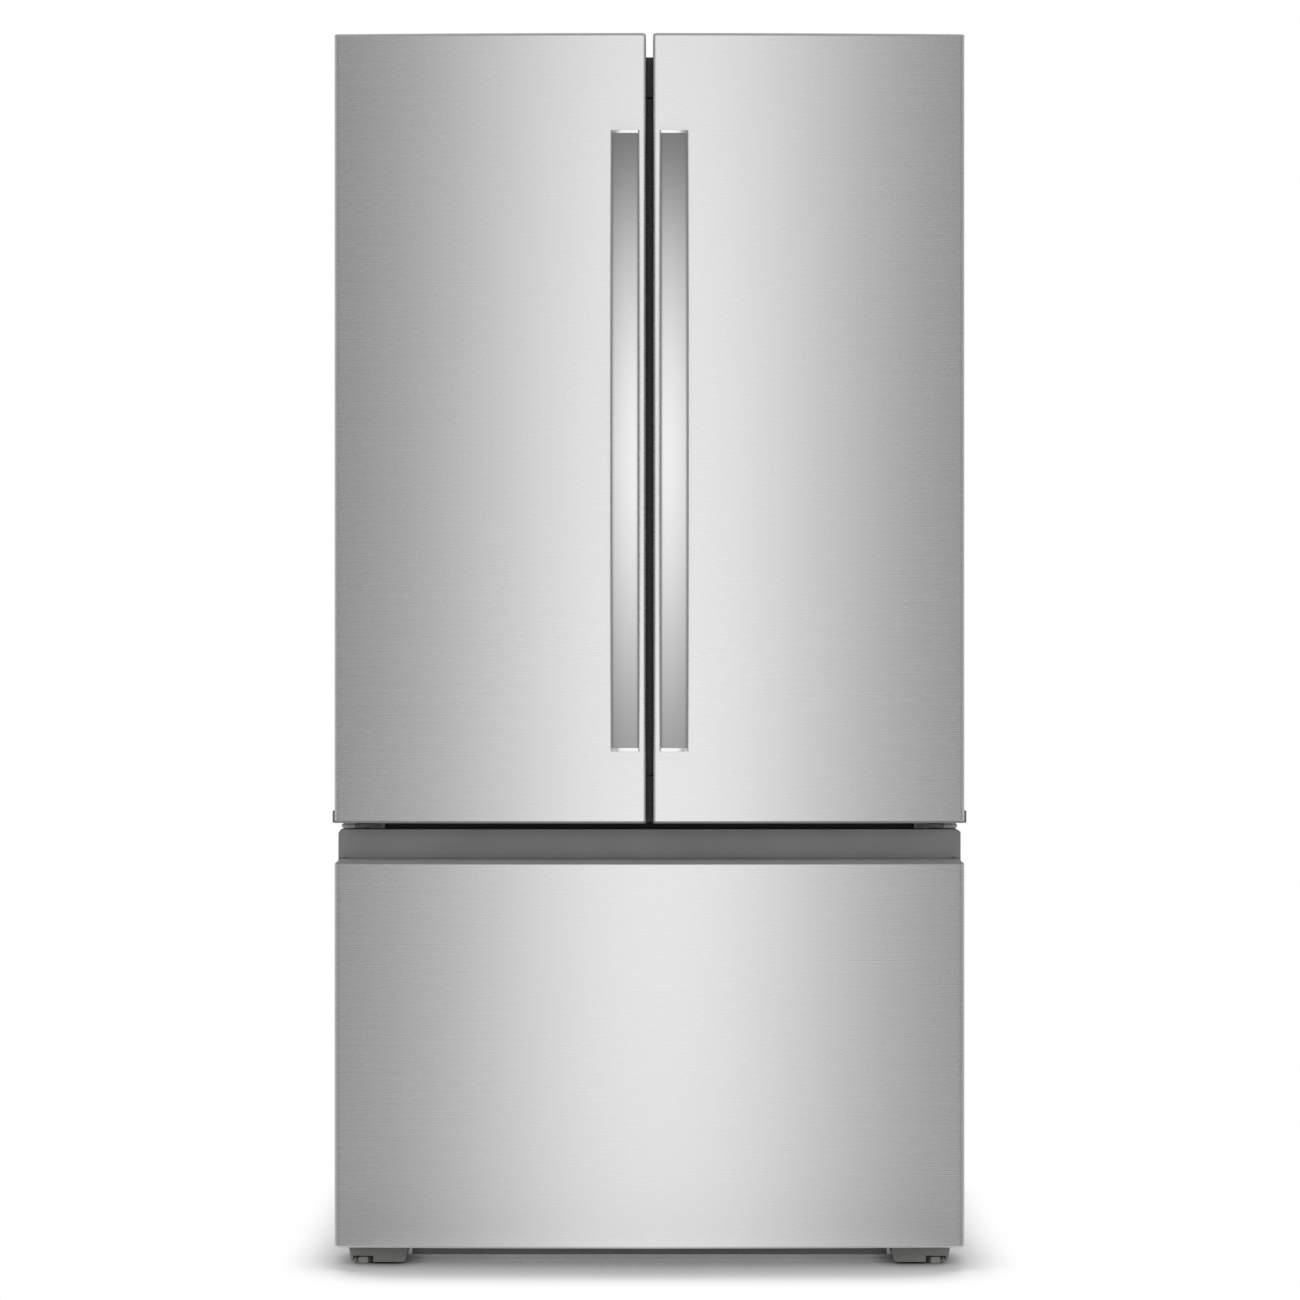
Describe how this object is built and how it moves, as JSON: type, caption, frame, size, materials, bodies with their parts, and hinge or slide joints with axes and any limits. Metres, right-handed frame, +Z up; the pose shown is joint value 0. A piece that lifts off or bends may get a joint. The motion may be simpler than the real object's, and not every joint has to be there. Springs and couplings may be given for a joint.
{
  "type": "french door refrigerator",
  "caption": "Counter-depth french door refrigerator: bowed stainless doors with long bowed handles over a full-width freezer drawer with a recessed grip.",
  "frame": {"origin": "on the floor, under the centre of the outer box", "axes": "+X to the viewer's right, -Y out of the doors' front, +Z up"},
  "size_m": [0.9104, 0.7489, 1.775],
  "materials": {
    "bare_sheet": "matte",
    "black_plastic": "satin",
    "case_paint": "satin",
    "case_paint_plastic": "satin",
    "clear_plastic": "gloss",
    "coil_aluminium": "satin",
    "compressor_black": "satin",
    "foam": "matte",
    "foot_pad": "satin",
    "foot_plastic": "matte",
    "gasket_rubber": "matte",
    "grip_plastic": "matte",
    "hinge_steel": "satin",
    "light_lens": "satin",
    "liner_white": "satin",
    "liner_white_paint": "satin",
    "panel_grey": "gloss",
    "rim_plastic": "satin",
    "shelf_glass": "gloss",
    "stainless": "satin",
    "zinc_steel": "satin"
  },
  "bodies": {
    "cabinet": {"outer_case": "case_paint", "back_panel": "bare_sheet", "insulation": "foam", "fridge_liner": "liner_white", "freezer_liner": "liner_white", "center_rail": "case_paint", "base_pan": "case_paint", "rear_cover": "bare_sheet", "cord_grommet": "black_plastic", "compressor": "compressor_black", "drain_pan": "black_plastic", "condenser": "coil_aluminium", "evaporator": "coil_aluminium", "evaporator_cover": "liner_white", "fan_motors": "bare_sheet", "top_hinges": "hinge_steel", "hinge_covers": "case_paint_plastic", "center_hinges": "hinge_steel", "flipper_guide": "black_plastic", "freezer_slides": "zinc_steel", "shelf_tracks": "liner_white_paint", "shelf_frames": "liner_white", "shelf_glass": "shelf_glass", "air_duct": "liner_white", "ceiling_light": "light_lens", "control_panel": "panel_grey", "foot_covers": "foot_plastic"},
    "left_door": {"left_door_skin": "stainless", "left_door_core": "foam", "left_door_caps": "rim_plastic", "left_door_liner": "liner_white", "left_door_gasket": "gasket_rubber", "left_door_bins": "clear_plastic", "left_handle": "stainless", "flipper_hinges": "black_plastic"},
    "flipper": {"flipper": "black_plastic"},
    "right_door": {"right_door_skin": "stainless", "right_door_core": "foam", "right_door_caps": "rim_plastic", "right_door_liner": "liner_white", "right_door_gasket": "gasket_rubber", "right_door_bins": "clear_plastic", "right_handle": "stainless"},
    "freezer_drawer": {"drawer_skin": "stainless", "drawer_grip": "grip_plastic", "drawer_core": "foam", "drawer_liner": "liner_white", "drawer_gasket": "gasket_rubber", "drawer_rails": "zinc_steel", "drawer_basket": "clear_plastic"},
    "slide_middles": {"slide_middles": "zinc_steel"},
    "freezer_tray": {"freezer_tray": "clear_plastic"},
    "left_crisper": {"left_crisper": "clear_plastic"},
    "right_crisper": {"right_crisper": "clear_plastic"},
    "condenser_fan": {"condenser_fan": "black_plastic"},
    "evaporator_fan": {"evaporator_fan": "black_plastic"},
    "left_leveling_leg": {"left_leveling_leg": "foot_pad"},
    "right_leveling_leg": {"right_leveling_leg": "foot_pad"},
    "left_rear_roller": {"left_rear_roller": "black_plastic"},
    "right_rear_roller": {"right_rear_roller": "black_plastic"}
  },
  "joints": [
    {"name": "left_door_swing", "type": "hinge", "parent": "cabinet", "child": "left_door", "pos_m": [-0.432, -0.2715, 1.2095], "axis": [0, 0, -1], "range_deg": [0, 115]},
    {"name": "right_door_swing", "type": "hinge", "parent": "cabinet", "child": "right_door", "pos_m": [0.432, -0.2715, 1.2095], "axis": [0, 0, 1], "range_deg": [0, 115]},
    {"name": "mullion_fold", "type": "hinge", "parent": "left_door", "child": "flipper", "pos_m": [-0.03315, -0.22635, 1.198], "axis": [0, 0, 1], "range_deg": [0, 88]},
    {"name": "drawer_slide", "type": "slide", "parent": "cabinet", "child": "freezer_drawer", "axis": [0, -1, 0], "range_m": [0, 0.42]},
    {"name": "middle_slide", "type": "slide", "parent": "cabinet", "child": "slide_middles", "axis": [0, -1, 0], "range_m": [0, 0.21]},
    {"name": "tray_slide", "type": "slide", "parent": "freezer_drawer", "child": "freezer_tray", "axis": [0, 1, 0], "range_m": [0, 0.165]},
    {"name": "left_crisper_slide", "type": "slide", "parent": "cabinet", "child": "left_crisper", "axis": [0, -1, 0], "range_m": [0, 0.07]},
    {"name": "right_crisper_slide", "type": "slide", "parent": "cabinet", "child": "right_crisper", "axis": [0, -1, 0], "range_m": [0, 0.07]},
    {"name": "condenser_fan_spin", "type": "hinge", "parent": "cabinet", "child": "condenser_fan", "pos_m": [-0.064, 0.2695, 0.133], "axis": [1, 0, 0], "continuous": true},
    {"name": "evaporator_fan_spin", "type": "hinge", "parent": "cabinet", "child": "evaporator_fan", "pos_m": [0, 0.2732, 0.53], "axis": [0, -1, 0], "continuous": true},
    {"name": "left_leg_turn", "type": "hinge", "parent": "cabinet", "child": "left_leveling_leg", "pos_m": [-0.416, -0.247, 0.009], "axis": [0, 0, 1], "range_deg": [-720, 720]},
    {"name": "right_leg_turn", "type": "hinge", "parent": "cabinet", "child": "right_leveling_leg", "pos_m": [0.416, -0.247, 0.009], "axis": [0, 0, 1], "range_deg": [-720, 720]},
    {"name": "left_roller_spin", "type": "hinge", "parent": "cabinet", "child": "left_rear_roller", "pos_m": [-0.388, 0.3185, 0.021], "axis": [1, 0, 0], "continuous": true},
    {"name": "right_roller_spin", "type": "hinge", "parent": "cabinet", "child": "right_rear_roller", "pos_m": [0.388, 0.3185, 0.021], "axis": [1, 0, 0], "continuous": true}
  ],
  "couplings": [
    {"joint": "mullion_fold", "follows": "left_door_swing", "ratio": 0.76522},
    {"joint": "middle_slide", "follows": "drawer_slide", "ratio": 0.5}
  ]
}
